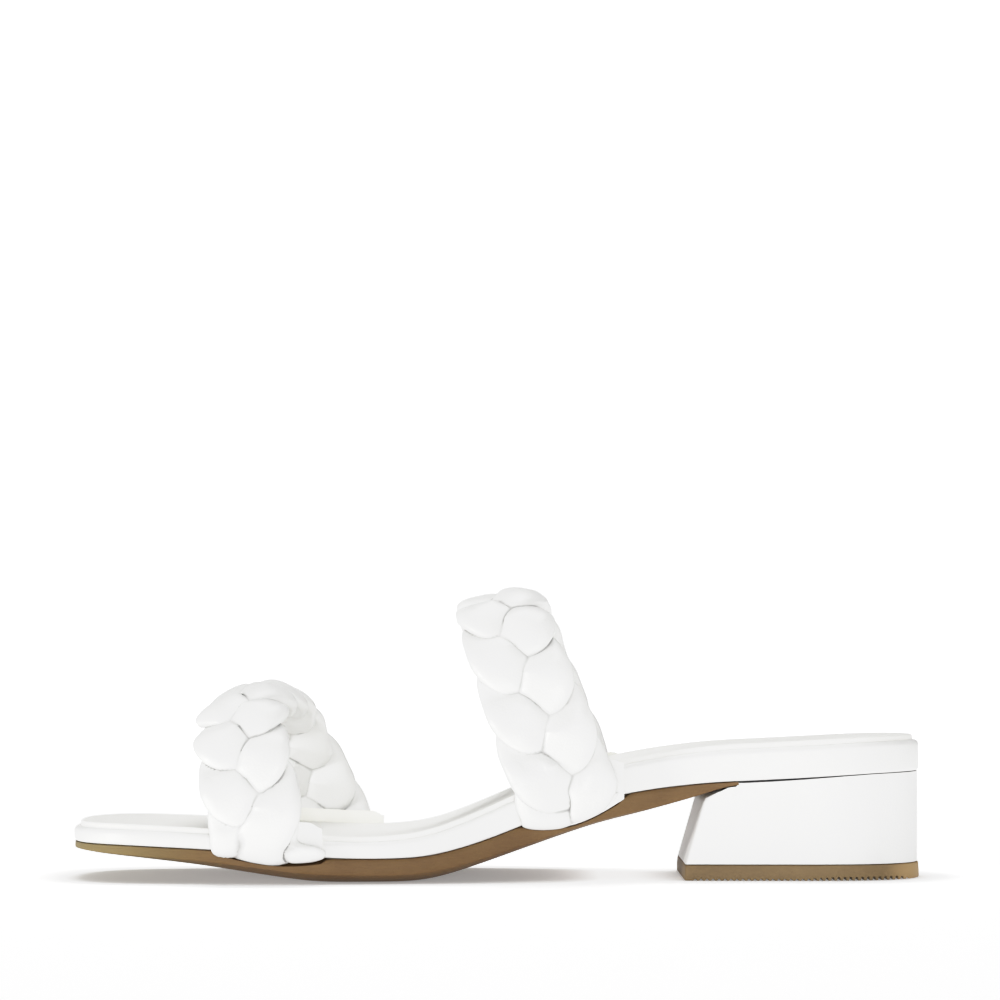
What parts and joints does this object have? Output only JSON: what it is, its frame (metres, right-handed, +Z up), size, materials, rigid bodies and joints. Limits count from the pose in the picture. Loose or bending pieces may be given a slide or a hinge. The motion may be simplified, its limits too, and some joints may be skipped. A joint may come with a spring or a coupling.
{
  "type": "slide sandal",
  "caption": "Slide sandal for the right foot: plaited straps over forefoot and instep, a wrapped footbed rising to a low block heel, and a moulded outsole that it stands on.",
  "frame": {"origin": "centre of the bounding box's bottom, on the floor that the shoe stands on", "axes": "+X towards the medial side (the inner side of the right foot), +Y from the toe to the heel, +Z up"},
  "size_m": [0.1043, 0.2503, 0.0868],
  "materials": {
    "strap_leather": "smooth, soft, satin white",
    "rand_leather": "smooth, satin white, wrapped",
    "lining_leather": "matt, warm white",
    "heel_leather": "smooth, satin white, wrapped",
    "outsole_rubber": "matt tan brown, moulded",
    "lift_rubber": "matt tan brown, fine ribs round its edge"
  },
  "bodies": {
    "root": {"outsole": "outsole_rubber", "footbed": "rand_leather", "sock_lining": "lining_leather", "heel_block": "heel_leather", "top_lift": "lift_rubber", "front_strap": "strap_leather", "rear_strap": "strap_leather"}
  },
  "joints": []
}
